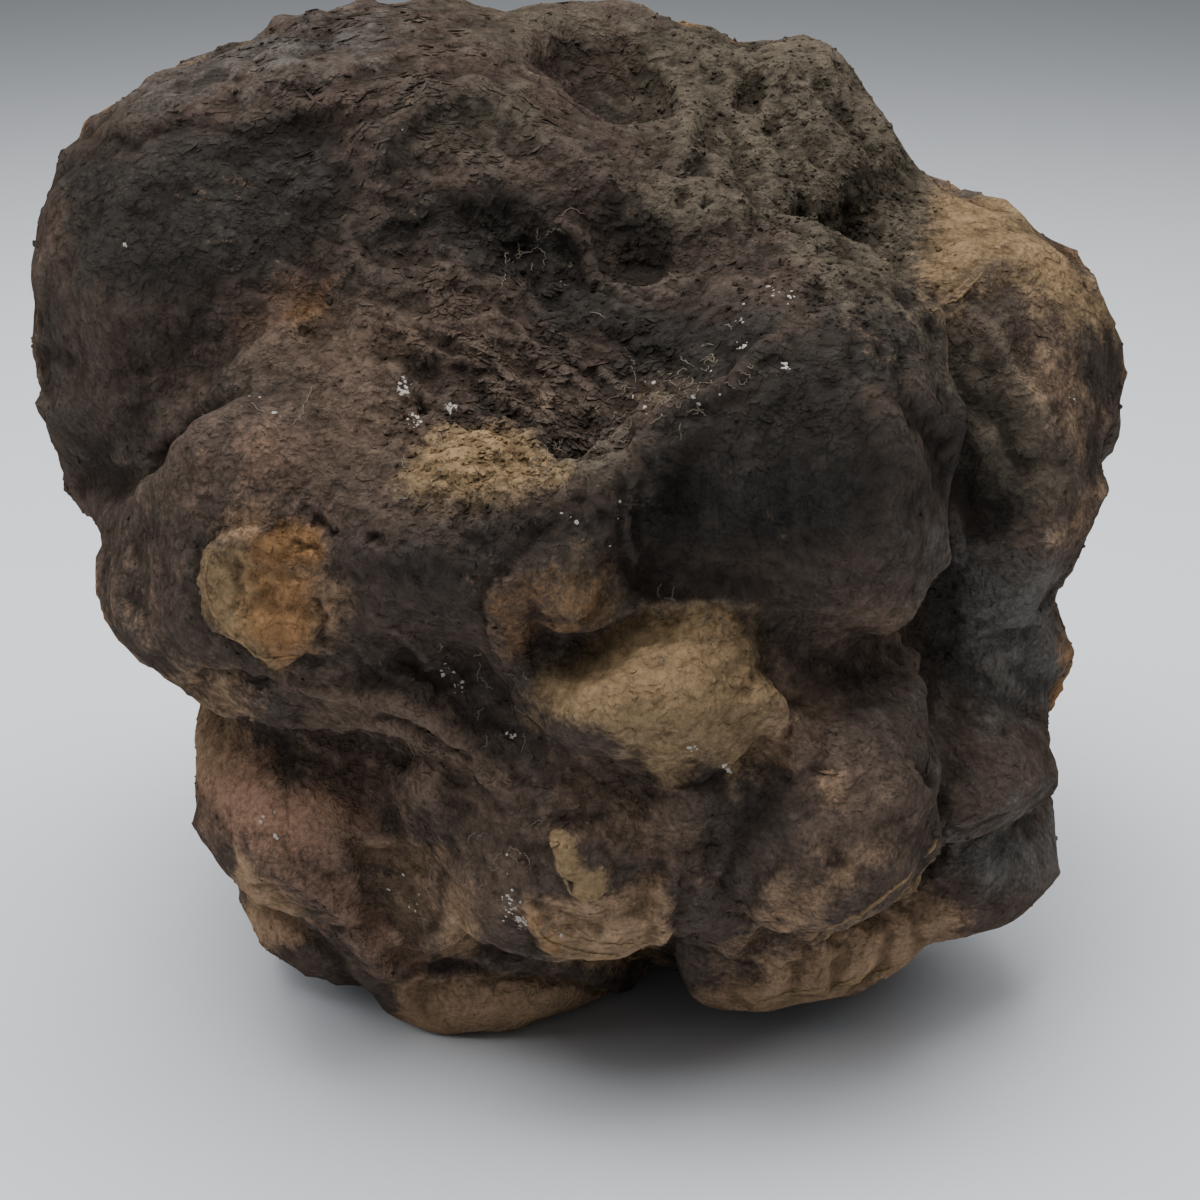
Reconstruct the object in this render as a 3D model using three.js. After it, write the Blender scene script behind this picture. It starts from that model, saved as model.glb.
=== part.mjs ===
// A whole, uncut geode: one lumpy nodule of stone that rests on a small flat spot.
// Units are millimetres, +Z is up, and the side with the tan bulge faces -Y.
// The stone is a blend of rounded lobes. Hollows are carved out of it, ridges and grooves run along
// it, and a little noise keeps the lobes from being true ellipsoids. A geodesic sphere is then
// shrunk onto that surface.
import * as THREE from "three";
import { mergeVertices } from "three/addons/utils/BufferGeometryUtils.js";
import { ImprovedNoise } from "three/addons/math/ImprovedNoise.js";

// Driving dimensions.
// The core lies forward of the middle, so the detailed front gets the smaller triangles.
const CORE = new THREE.Vector3(0, -16, 98);
const REACH = 150; // a sphere of this radius about the core holds the whole stone
const SPHERE_DETAIL = 19; // 20 * (detail + 1)^2 triangles
const RELAX_ROUNDS = 36;

// Broad noise bends the lobes, fine noise makes them lumpy: wavelength, height, and where in the noise
// each one is read, so that no two are alike. The back is bent further, from one depth on to another.
const BROAD = { wavelength: 46, height: 2.5, places: [3.1, 17.7, 41.3] };
const BACK_BEND = { height: 6, from: 10, to: 60 };
const LUMPS = { wavelength: 16, height: 1.6, place: 7.9 };

// How the sphere is fitted: how near the surface counts as on it, the share of the distance taken by a
// step, and for the evening out, the share of the way to the neighbours' middle and the longest way back.
const ON_SURFACE = 0.02;
const STEP_SHARE = 0.6;
const MOST_STEPS = 200;
const EVEN_SHARE = 0.5;
const LONGEST_RETURN = 1.5;
const LEAST_SLOPE = 0.5;
const SLOPE_STEP = 0.05;

// The lobes: centre, radii, turn about X, Y and Z in degrees, power (2 is an ellipsoid, more is squarer),
// and the width of the blend into the rest.
const LOBES = [
  { name: "body", at: [0, 4, 98], radii: [76, 66, 80], blend: 0 },
  // Left of the front.
  { name: "left shoulder", at: [-62, 8, 141], radii: [41, 46, 37], blend: 8 },
  { name: "left shoulder, top", at: [-60, 12, 160], radii: [33, 36, 20], blend: 6 },
  { name: "left flank", at: [-61, 2, 115], radii: [40, 42, 29], blend: 6 },
  { name: "left front", at: [-37, -24, 106], radii: [40, 46, 35], power: 2.4, blend: 6 },
  { name: "left cheek", at: [-54, -20, 95], radii: [32, 42, 20], blend: 5 },
  { name: "scab", at: [-46, -52, 101], radii: [19, 15, 14], turn: [0, 0, -30], blend: 2 },
  { name: "lower left", at: [-48, -20, 54], radii: [24, 43, 24], blend: 5 },
  { name: "left heel", at: [-50, -5, 18], radii: [18, 27, 16], blend: 4 },
  // Middle of the front.
  { name: "rim shelf", at: [-8, -36, 114], radii: [44, 45, 22], blend: 8 },
  { name: "ochre bump", at: [-9, -64, 104], radii: [10, 15, 11], blend: 5 },
  { name: "tan bulge", at: [12, -54, 92], radii: [27, 33, 18], blend: 6 },
  { name: "chin", at: [2, -36, 62], radii: [35, 41, 29], power: 2.5, blend: 6 },
  { name: "chin knob", at: [1, -77, 61], radii: [7, 9, 8], blend: 2 },
  { name: "foot", at: [-15, -10, 14], radii: [29, 33, 21], blend: 8 },
  { name: "foot, hidden side", at: [12, 14, 14], radii: [27, 28, 20], blend: 8 },
  // Right of the front.
  { name: "egg", at: [43, -42, 66], radii: [20, 40, 27], power: 2.4, turn: [0, 15, 0], blend: 3 },
  { name: "nose", at: [39, -31, 124], radii: [27, 45, 31], power: 3, turn: [4, 0, -6], blend: 6 },
  { name: "right shoulder", at: [73, 6, 120], radii: [30, 46, 34], blend: 6 },
  { name: "right shoulder, lower", at: [77, -14, 106], radii: [19, 28, 22], blend: 3 },
  { name: "right flank", at: [77, -4, 70], radii: [20, 34, 23], blend: 4 },
  { name: "right flank, front", at: [71, -26, 58], radii: [20, 30, 18], blend: 2 },
  { name: "right heel", at: [74, -10, 32], radii: [23, 34, 16], blend: 3 },
  { name: "hanging lobe 1", at: [29, -31, 19], radii: [9, 25, 15], blend: 2 },
  { name: "hanging lobe 2", at: [42, -28, 20], radii: [8, 25, 14], blend: 2 },
  { name: "hanging lobe 3", at: [53, -25, 22], radii: [7, 25, 14], blend: 2 },
  { name: "hanging lobe 4", at: [63, -22, 24], radii: [8, 22, 13], blend: 2 },
  // Top.
  { name: "crest", at: [-24, 16, 150], radii: [48, 46, 41], blend: 10 },
  { name: "crest, left", at: [-42, 18, 166], radii: [24, 30, 22], blend: 6 },
  { name: "crest, right", at: [0, 22, 168], radii: [26, 26, 22], blend: 6 },
  { name: "top right", at: [36, 18, 154], radii: [24, 34, 24], blend: 6 },
  { name: "top right lump 1", at: [23, 8, 170], radii: [11, 11, 10], blend: 5 },
  { name: "top right lump 2", at: [38, 16, 172], radii: [13, 13, 12], blend: 5 },
  { name: "top right lump 3", at: [49, 12, 162], radii: [12, 14, 12], blend: 5 },
  { name: "top right lump 4", at: [33, -4, 156], radii: [11, 11, 10], blend: 5 },
  { name: "saddle right of the crest", at: [22, 20, 168], radii: [14, 16, 15], blend: 5 },
  { name: "saddle right of the top", at: [60, 14, 147], radii: [14, 22, 14], blend: 5 },
  // Back.
  { name: "back left, high", at: [-46, 38, 126], radii: [36, 40, 38], blend: 12 },
  { name: "back left, low", at: [-42, 36, 66], radii: [34, 40, 31], turn: [0, 0, 20], blend: 7 },
  { name: "back right, high", at: [44, 42, 130], radii: [33, 40, 27], turn: [0, 20, 0], blend: 9 },
  { name: "back right, middle", at: [54, 36, 92], radii: [30, 38, 25], blend: 5 },
  { name: "back right, low", at: [40, 36, 52], radii: [38, 40, 29], blend: 7 },
  { name: "back middle", at: [-4, 54, 108], radii: [41, 34, 34], turn: [0, -25, 0], blend: 10 },
  { name: "back knob", at: [16, 74, 82], radii: [22, 15, 17], blend: 5 },
  { name: "back top", at: [-8, 42, 151], radii: [42, 38, 33], blend: 10 },
  { name: "back top lump", at: [-34, 60, 148], radii: [19, 17, 16], blend: 4 },
  { name: "back bottom", at: [-10, 44, 40], radii: [42, 36, 27], blend: 7 },
  { name: "back heel", at: [14, 62, 44], radii: [24, 22, 17], blend: 4 },
];

const HOLLOWS = [
  { name: "hollow behind the spine", at: [8, 2, 186], radii: [15, 18, 16], blend: 6 },
  { name: "scoop", at: [-2, -80, 180], radii: [46, 51, 46], blend: 3 },
];

// Ridges stand out along a line and grooves are cut along one: the line, its half-width and its blend.
const RIDGES = [
  {
    name: "spine above the scoop",
    line: [[-48, -6, 177], [-30, -18, 171], [-20, -8, 176], [-4, -15, 165], [9, -19, 157],
      [20, -19, 154], [32, -29, 151], [42, -46, 149]],
    radius: 8,
    blend: 4,
  },
  {
    name: "rim below the scoop",
    line: [[-16, -68, 122], [-2, -71, 124], [9, -71, 127], [13, -69, 131], [23, -63, 136],
      [34, -53, 143], [43, -44, 146]],
    radius: 5,
    blend: 4,
  },
  {
    name: "nose, right edge",
    line: [[47, -43, 149], [54, -42, 144], [57, -46, 136], [60, -46, 125], [62, -44, 109], [60, -46, 102]],
    radius: 5,
    blend: 5,
  },
  {
    name: "ledges on the left shoulder",
    line: [[-88, 2, 164], [-70, -6, 170], [-57, -2, 175], [-43, 2, 181]],
    radius: 4,
    blend: 3,
  },
  {
    name: "chin ledge",
    line: [[-7, -62, 42], [-3, -63, 40], [4, -63, 39], [12, -62, 40], [15, -60, 43]],
    radius: 5,
    blend: 3,
  },
  {
    name: "chin, right edge",
    line: [[19, -74, 74], [15, -72, 64], [16, -66, 51], [14, -60, 39]],
    radius: 4,
    blend: 4,
  },
  {
    name: "lower left rib",
    line: [[-63, -20, 33], [-49, -38, 37], [-40, -42, 30], [-35, -32, 11]],
    radius: 7,
    blend: 4,
  },
  {
    name: "foot, front edge",
    line: [[-33, -24, 5], [-26, -32, 4], [-14, -30, 5], [-3, -26, 6], [9, -20, 8]],
    radius: 6,
    blend: 5,
  },
  { name: "lower left edge", line: [[-24, -67, 71], [-23, -61, 56], [-25, -49, 33]], radius: 5, blend: 4 },
  {
    name: "diagonal fold",
    line: [[-33, -64, 85], [-23, -68, 84], [-13, -70, 79], [-4, -71, 67]],
    radius: 5,
    blend: 6,
  },
  {
    name: "fold under the cheek",
    line: [[-67, -36, 84], [-53, -52, 85], [-40, -61, 86], [-28, -67, 87]],
    radius: 5,
    blend: 4,
  },
  {
    name: "egg, lower rim",
    line: [[65, -54, 61], [63, -55, 55], [59, -55, 48], [51, -55, 41], [43, -55, 37], [30, -57, 35]],
    radius: 4,
    blend: 3,
  },
  {
    name: "shoulder ridge",
    line: [[68, -27, 137], [76, -23, 127], [86, -15, 119], [94, -7, 109]],
    radius: 5,
    blend: 3,
  },
];

const GROOVES = [
  {
    name: "fold right of the left shoulder",
    line: [[-98, -14, 106], [-87, -26, 112], [-72, -40, 123], [-63, -46, 133], [-55, -48, 140],
      [-46, -48, 147], [-42, -42, 154]],
    radius: 6,
    blend: 4,
  },
  {
    name: "recess above the bulge",
    line: [[-2, -79, 100], [6, -76, 103], [13, -76, 107], [21, -79, 109], [28, -81, 107], [36, -80, 101],
      [40, -77, 91]],
    radius: 5,
    blend: 7,
  },
  {
    name: "valley under the nose",
    line: [[36, -76, 99], [47, -70, 96], [60, -61, 93], [68, -50, 98]],
    radius: 5,
    blend: 6,
  },
  {
    name: "undercut of the egg",
    line: [[66, -58, 50], [60, -60, 42], [50, -60, 35], [38, -61, 31]],
    radius: 4,
    blend: 4,
  },
  { name: "undercut of the chin", line: [[-8, -60, 34], [4, -61, 32], [15, -58, 34]], radius: 5, blend: 4 },
  { name: "dark face, lower left", line: [[-32, -72, 60], [-31, -66, 44]], radius: 9, blend: 6 },
  {
    name: "crease above the shoulder ridge",
    line: [[79, -30, 135], [84, -28, 130], [93, -20, 122], [101, -10, 112]],
    radius: 4,
    blend: 4,
  },
  {
    name: "crease across the right flank",
    line: [[62, -53, 82], [80, -40, 76], [97, -18, 62]],
    radius: 4,
    blend: 4,
  },
  {
    name: "crease above the right heel",
    line: [[66, -52, 50], [82, -41, 46], [98, -22, 44]],
    radius: 4,
    blend: 3,
  },
  {
    name: "gully right of the nose",
    line: [[28, -5, 165], [42, -6, 160], [50, -15, 154], [58, -29, 145], [64, -41, 131], [69, -42, 116],
      [70, -42, 98]],
    radius: 6,
    blend: 8,
  },
  {
    name: "valley left of the nose",
    line: [[10, -82, 131], [10, -81, 120], [12, -78, 108]],
    radius: 4,
    blend: 8,
  },
  {
    name: "crease across the back",
    line: [[-84, 40, 96], [-50, 74, 92], [-24, 88, 86], [2, 92, 92], [36, 86, 106], [74, 60, 110]],
    radius: 6,
    blend: 8,
  },
  {
    name: "crease up the back",
    line: [[36, 86, 106], [30, 82, 130], [18, 66, 160], [2, 50, 186]],
    radius: 5,
    blend: 8,
  },
  {
    name: "dark hollow under the spine",
    line: [[-27, -35, 158], [-16, -38, 162], [-7, -38, 159], [-2, -41, 153]],
    radius: 6,
    blend: 6,
  },
  {
    name: "crescent under the spine",
    line: [[6, -37, 158], [9, -39, 152], [16, -41, 149]],
    radius: 4.5,
    blend: 4,
  },
  {
    name: "slot under the scoop",
    line: [[-2, -75, 137], [4, -75, 137], [10, -74, 139]],
    radius: 3,
    blend: 2,
  },
];

const noise = new ImprovedNoise();

function noiseAt(p, wavelength, place) {
  return noise.noise(p.x / wavelength + place, p.y / wavelength - place, p.z / wavelength);
}

// A point pushed about by broad noise, a different one along each axis. The back is bent the most.
function bend(p) {
  const back = THREE.MathUtils.smoothstep(p.y, BACK_BEND.from, BACK_BEND.to);
  const height = BROAD.height + BACK_BEND.height * back;
  const push = BROAD.places.map((place) => height * noiseAt(p, BROAD.wavelength, place));
  return new THREE.Vector3(p.x + push[0], p.y + push[1], p.z + push[2]);
}

function prepared(lobe) {
  const angles = (lobe.turn ?? [0, 0, 0]).map(THREE.MathUtils.degToRad);
  const turn = new THREE.Matrix4().makeRotationFromEuler(new THREE.Euler(...angles));
  return {
    centre: new THREE.Vector3(...lobe.at),
    unturn: turn.invert(),
    radii: new THREE.Vector3(...lobe.radii),
    power: lobe.power ?? 2,
    blend: lobe.blend,
  };
}

function preparedLine({ line, radius, blend }) {
  const points = line.map((p) => new THREE.Vector3(...p));
  const spans = points.slice(1).map((end, i) => new THREE.Line3(points[i], end));
  return { spans, radius, blend };
}

const lobes = LOBES.map(prepared);
const hollows = HOLLOWS.map(prepared);
const ridges = RIDGES.map(preparedLine);
const grooves = GROOVES.map(preparedLine);

// Roughly the distance to a lobe, negative inside. A power of 2 is an ellipsoid, and more is squarer.
const inLobe = new THREE.Vector3();
function toLobe(p, { centre, unturn, radii, power }) {
  const q = inLobe.copy(p).sub(centre).applyMatrix4(unturn).divide(radii);
  const [x, y, z] = [Math.abs(q.x), Math.abs(q.y), Math.abs(q.z)];
  const near = (x ** power + y ** power + z ** power) ** (1 / power);
  if (near === 0) return -Math.min(radii.x, radii.y, radii.z);
  const steep = q.set((x / near) ** (power - 1), (y / near) ** (power - 1), (z / near) ** (power - 1));
  return (near - 1) / steep.divide(radii).length();
}

// The distance to a round rope along a line, negative inside.
const onSpan = new THREE.Vector3();
function toRope(p, { spans, radius }) {
  let near = Infinity;
  for (const span of spans) {
    span.closestPointToPoint(p, true, onSpan);
    near = Math.min(near, onSpan.distanceTo(p));
  }
  return near - radius;
}

function smoothMin(a, b, blend) {
  const h = Math.max(blend - Math.abs(a - b), 0) / (blend || 1);
  return Math.min(a, b) - (h * h * blend) / 4;
}

function smoothMax(a, b, blend) {
  return -smoothMin(-a, -b, blend);
}

// The stone's surface is where this is zero.
function stone(p) {
  const q = bend(p);
  let d = Infinity;
  for (const lobe of lobes) d = smoothMin(d, toLobe(q, lobe), lobe.blend);
  for (const hollow of hollows) d = smoothMax(d, -toLobe(q, hollow), hollow.blend);
  for (const ridge of ridges) d = smoothMin(d, toRope(q, ridge), ridge.blend);
  for (const groove of grooves) d = smoothMax(d, -toRope(q, groove), groove.blend);
  return d - LUMPS.height * noiseAt(p, LUMPS.wavelength, LUMPS.place);
}

// The surface function at a point, and how steeply it rises along each axis.
function slope(p) {
  const at = stone(p);
  const rise = new THREE.Vector3(
    stone(new THREE.Vector3(p.x + SLOPE_STEP, p.y, p.z)) - at,
    stone(new THREE.Vector3(p.x, p.y + SLOPE_STEP, p.z)) - at,
    stone(new THREE.Vector3(p.x, p.y, p.z + SLOPE_STEP)) - at,
  ).divideScalar(SLOPE_STEP);
  return { at, rise };
}

// The outermost point of the stone seen from the core in one direction.
function shrinkOnto(direction) {
  const p = new THREE.Vector3();
  let reach = REACH;
  for (let i = 0; i < MOST_STEPS; i++) {
    p.copy(direction).multiplyScalar(reach).add(CORE);
    const d = stone(p);
    if (Math.abs(d) < ON_SURFACE) break;
    reach -= STEP_SHARE * d;
  }
  return p;
}

// Which vertices each vertex shares a triangle with.
function neighbours(index, count) {
  const sets = Array.from({ length: count }, () => new Set());
  for (let i = 0; i < index.length; i += 3) {
    for (let k = 0; k < 3; k++) {
      sets[index[i + k]].add(index[i + ((k + 1) % 3)]);
      sets[index[i + k]].add(index[i + ((k + 2) % 3)]);
    }
  }
  return sets.map((s) => [...s]);
}

// Evens the triangles out along the surface, then puts each vertex back on it.
function relax(points, near) {
  return points.map((p, i) => {
    const middle = new THREE.Vector3();
    for (const n of near[i]) middle.add(points[n]);
    middle.divideScalar(near[i].length);
    const moved = p.clone().lerp(middle, EVEN_SHARE);
    const { at, rise } = slope(moved);
    const back = at / Math.max(rise.lengthSq(), LEAST_SLOPE);
    return moved.addScaledVector(rise, -THREE.MathUtils.clamp(back, -LONGEST_RETURN, LONGEST_RETURN));
  });
}

function stoneGeometry() {
  const sphere = new THREE.IcosahedronGeometry(1, SPHERE_DETAIL);
  sphere.deleteAttribute("normal");
  sphere.deleteAttribute("uv");
  const shell = mergeVertices(sphere, 1e-5);
  const place = shell.getAttribute("position");
  const near = neighbours(shell.index.array, place.count);
  let points = near.map((_, i) => shrinkOnto(new THREE.Vector3().fromBufferAttribute(place, i)));
  for (let round = 0; round < RELAX_ROUNDS; round++) points = relax(points, near);
  // Whatever would sink below the ground becomes the flat spot it rests on.
  points.forEach((p, i) => place.setXYZ(i, p.x, p.y, Math.max(p.z, 0)));
  shell.computeBoundingBox();
  const middle = shell.boundingBox.getCenter(new THREE.Vector3());
  shell.translate(-middle.x, -middle.y, 0);
  shell.computeVertexNormals();
  return shell;
}

const crust = new THREE.MeshStandardMaterial({ color: 0x4a3a30, roughness: 0.9, metalness: 0 });
const geode = new THREE.Mesh(stoneGeometry(), crust);
geode.name = "geode";

const part = new THREE.Group();
part.add(geode);
export default part;
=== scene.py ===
"""The look of a whole, uncut geode: folds, ledges, pits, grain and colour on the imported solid.

Lengths are in millimetres until the meshes are made, which are in metres. Forms and patches on the front
are placed by the photograph's pixels, through the photograph's own camera, and laid on what that camera
sees. The hidden sides get forms and patches of the same kinds from seeded noise.
"""

import itertools
import math

import bmesh
import bpy
import numpy as np
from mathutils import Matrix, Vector
from mathutils.bvhtree import BVHTree


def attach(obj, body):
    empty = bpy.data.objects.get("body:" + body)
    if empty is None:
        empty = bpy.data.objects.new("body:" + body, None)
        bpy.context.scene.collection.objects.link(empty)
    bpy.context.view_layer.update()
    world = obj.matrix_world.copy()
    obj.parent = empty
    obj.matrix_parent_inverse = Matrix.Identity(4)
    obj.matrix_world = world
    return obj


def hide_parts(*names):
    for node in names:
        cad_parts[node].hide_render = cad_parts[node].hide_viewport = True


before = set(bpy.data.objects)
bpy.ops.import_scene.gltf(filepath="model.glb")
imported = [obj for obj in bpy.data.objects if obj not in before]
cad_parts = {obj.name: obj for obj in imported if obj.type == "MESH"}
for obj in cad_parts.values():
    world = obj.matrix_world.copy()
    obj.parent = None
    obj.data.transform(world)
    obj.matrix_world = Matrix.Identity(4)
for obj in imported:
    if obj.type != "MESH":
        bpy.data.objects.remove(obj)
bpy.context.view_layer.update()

MM = 0.001

# The photograph's camera: a square frame, its focal length in pixels, and where it looks from.
FRAME_PIXELS = 1200
FOCAL_PIXELS = 1900
PITCH = math.radians(22)
AIM = np.array([4.95, -12.6, 82.0])
DISTANCE = 370
FORWARD = np.array([0, math.cos(PITCH), -math.sin(PITCH)])
UP = np.array([0, math.sin(PITCH), math.cos(PITCH)])
RIGHT = np.array([1.0, 0, 0])
EYE = AIM - DISTANCE * FORWARD
SENSOR = 36

# The stone's mesh: corners this close, in metres, are one; how often it is divided; how its creases sharpen.
WELD = 1e-6
SUBDIVISIONS = 2
SHARPEN_SHARE = 1.1
SHARPEN_ROUNDS = 10
SHARPEN_MOST = 1.8

# What the photograph sees: how far a place must face it, where its sight starts, and the border's softening.
FACING = (0.02, 0.25)
SIGHT_START = 0.4
SEEN_ROUNDS = 5

# Noise: the cells in its table, the gain that brings it to about -1 to 1, each noise's first seed, and the
# step between the seeds of layered ones.
NOISE_CELLS = 256
NOISE_GAIN = 1.7
SEEDS = {"waver": 20, "hidden roughness": 31, "grain": 40, "knobs": 44, "crests": 48, "hidden bend": 60,
         "hidden folds": 63, "hidden patches": 70, "swirl": 90, "flakes behind": 95, "flake patches": 96,
         "crumbs behind": 97, "wrinkles": 100}
SEEDS_APART = 5

# Grain all over: smooth waves, knobs between sharp creases, and sharp crests. Wavelength and height,
# and the level that knobs and crests are measured from.
GRAIN = [(18, 0.7), (9, 0.4), (2.4, 0.2)]
KNOBS = [(14, 0.4)]
CRESTS = [(7, 0.16), (3.6, 0.12)]
CREST_LEVEL = 0.5

# The relief follows evened-out normals, and grows between these heights over the base.
NORMAL_ROUNDS = 2
BASE_FADE = (0.2, 4)

# How far the lines and patches waver: wavelength of the noise that bends them, and pixels.
WAVER = [(22, 8), (9, 6), (4, 4), (2.4, 2.5)]

# Lines die out over this share of their length at each end.
LINE_ENDS = 0.15

# Ridges on the front: name, height, half-width in pixels, and the line in pixels.
RIDGES = [
    ("spine", 1.8, 15, [(375, 165), (400, 120), (425, 95), (460, 90), (500, 110), (550, 145), (625, 200)]),
    ("under the crescent", 2.4, 7, [(545, 215), (580, 240), (595, 270), (625, 290), (655, 295),
     (685, 280)]),
    ("facet beside the spine", 1.2, 10, [(370, 250), (385, 220), (425, 210), (440, 190)]),
    ("in the left crease", 3.0, 26, [(100, 472), (165, 442), (205, 400), (270, 360), (310, 315)]),
    ("left cheek", 0.8, 12, [(130, 540), (115, 580), (112, 605), (130, 630), (160, 660)]),
    ("diagonal fold", 1.5, 10, [(240, 670), (300, 685), (370, 695), (430, 720), (480, 760), (530, 815)]),
    ("edge of the dark face", 1.2, 9, [(370, 720), (410, 730), (435, 760), (445, 810), (445, 850)]),
    ("lower left rib", 1.8, 10, [(245, 850), (280, 865), (320, 890), (350, 925), (380, 970), (400, 990)]),
    ("on the nose", 1.0, 9, [(865, 320), (870, 380), (900, 430), (905, 475)]),
    ("nose, right edge", 1.5, 9, [(915, 330), (918, 380), (950, 450), (950, 540), (945, 580)]),
    ("rim of the scoop", 2.2, 7, [(628, 435), (665, 409), (717, 388), (748, 362), (790, 331)]),
    ("nose, left edge", 1.6, 7, [(640, 425), (630, 470), (632, 530), (640, 580)]),
    ("right shoulder", 2.0, 10, [(960, 300), (1000, 360), (1035, 415), (1065, 460)]),
    ("right shoulder, upper edge", 1.6, 8, [(990, 264), (960, 298), (930, 312), (900, 318)]),
    ("top right, fold 1", 1.8, 13, [(655, 45), (680, 85), (690, 130), (680, 165)]),
    ("top right, fold 2", 1.8, 13, [(770, 55), (800, 95), (820, 140), (860, 175)]),
    ("top right, fold 3", 1.5, 11, [(700, 60), (725, 50), (760, 55)]),
    ("right crest", 1.0, 12, [(965, 300), (1000, 265), (1045, 260), (1075, 280)]),
    ("right flank", 0.9, 13, [(970, 580), (960, 615), (975, 650), (1005, 685), (1035, 710), (1050, 730)]),
    ("seam over the right heel", 1.2, 7, [(925, 830), (960, 815), (1000, 805), (1040, 785), (1050, 770)]),
    ("hanging lobe 1", 1.3, 17, [(750, 1005), (775, 965), (795, 942)]),
    ("hanging lobe 2", 1.3, 15, [(802, 998), (820, 960), (832, 938)]),
    ("hanging lobe 3", 1.3, 15, [(845, 988), (862, 950), (872, 925)]),
    ("hanging lobe 4", 1.3, 15, [(892, 968), (902, 938), (910, 910)]),
    ("egg facet", 1.2, 8, [(725, 950), (760, 915), (790, 880), (830, 850)]),
    ("between bump and bulge", 2.5, 18, [(540, 620), (575, 605), (610, 600), (650, 600)]),
    ("bulge to egg", 2.5, 16, [(740, 690), (770, 705), (800, 735), (820, 760)]),
    ("chin, right edge", 1.5, 8, [(660, 950), (665, 900), (670, 860), (695, 845)]),
]

# Grooves on the front: name, depth, half-width in pixels, and the line in pixels.
GROOVES = [
    ("slot", 4.5, 8, [(545, 443), (575, 447), (605, 445), (640, 428)]),
    ("left cheek", 0.7, 12, [(155, 515), (135, 550), (130, 595), (150, 635), (180, 670)]),
    ("under the cheek", 2.0, 9, [(182, 685), (220, 685), (250, 690), (285, 680)]),
    ("crack along the fold", 1.8, 6, [(365, 718), (410, 725), (450, 745), (490, 770)]),
    ("lower left rib", 1.5, 8, [(260, 865), (290, 910), (330, 950)]),
    ("over the foot", 2.0, 8, [(395, 985), (440, 965), (500, 975), (570, 980), (620, 990)]),
    ("round the egg", 2.2, 8, [(925, 770), (952, 822), (945, 855), (915, 893), (865, 925), (812, 945)]),
    ("hanging lobe 1", 0.5, 8, [(780, 995), (800, 950), (810, 940)]),
    ("hanging lobe 2", 0.5, 8, [(825, 997), (840, 960), (850, 940)]),
    ("hanging lobe 3", 0.5, 8, [(865, 980), (880, 950), (895, 925)]),
    ("hanging lobe 4", 0.5, 8, [(915, 960), (920, 930), (925, 900)]),
    ("right of the bulge", 1.2, 9, [(757, 620), (762, 650), (772, 680), (785, 705), (810, 700)]),
    ("under the shoulder ridge", 1.6, 14, [(935, 335), (965, 385), (1000, 430), (1035, 480)]),
    ("left of the nose", 1.2, 12, [(632, 470), (635, 520), (640, 600)]),
    ("scab crack 1", 1.0, 4, [(285, 540), (300, 552), (312, 548), (322, 565)]),
    ("scab crack 2", 1.0, 4, [(312, 600), (322, 620), (318, 645), (330, 652)]),
    ("scab crack 3", 0.7, 4, [(232, 560), (240, 590), (235, 615)]),
    ("top right, fold 1", 1.6, 13, [(715, 70), (722, 110), (745, 150), (770, 190)]),
    ("top right, fold 2", 1.4, 12, [(830, 95), (845, 130), (880, 160)]),
    ("top right, fold 3", 1.2, 11, [(640, 110), (655, 150), (650, 175)]),
    ("gully", 0.4, 14, [(790, 200), (800, 240), (830, 255), (870, 290)]),
    ("right of the nose", 2.0, 12, [(915, 330), (912, 370), (925, 420), (945, 470), (955, 520)]),
    ("crescent", 0.3, 22, [(590, 200), (630, 240), (680, 250)]),
    ("under the dark hollow", 0.5, 9, [(380, 260), (430, 260), (475, 270), (520, 280)]),
]

# Ledges on the front stand out on the right of their line and sink on the left, and fade away from it:
# name, height, fade in pixels, and the line in pixels. Half-width of their edge, and the share that sinks.
LEDGES = [
    ("shoulder, low", 2.4, 45, [(270, 140), (235, 125), (190, 118), (140, 122), (100, 132), (60, 155)]),
    ("shoulder, high", 2.0, 40, [(260, 92), (220, 80), (180, 85), (140, 100)]),
    ("top", 2.0, 40, [(330, 30), (280, 38), (245, 50)]),
    ("stratum 1", 1.4, 30, [(460, 55), (415, 62), (350, 80), (280, 95), (200, 105)]),
    ("stratum 2", 1.4, 30, [(450, 85), (380, 90), (310, 110), (240, 145)]),
    ("scab", 2.6, 70, [(335, 652), (300, 658), (268, 662), (240, 642), (215, 622), (202, 580), (212, 545),
     (240, 525), (280, 512)]),
    ("bump", 1.6, 50, [(530, 668), (500, 668), (485, 640), (484, 600), (498, 578), (530, 570)]),
    ("egg lip", 4.0, 55, [(910, 755), (936, 812), (936, 845), (912, 882), (862, 916), (800, 940)]),
    ("foot", 1.8, 40, [(630, 990), (560, 980), (500, 976), (440, 980), (400, 990)]),
]
LEDGE_EDGE = 5
LEDGE_SINK = 0.3

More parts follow.
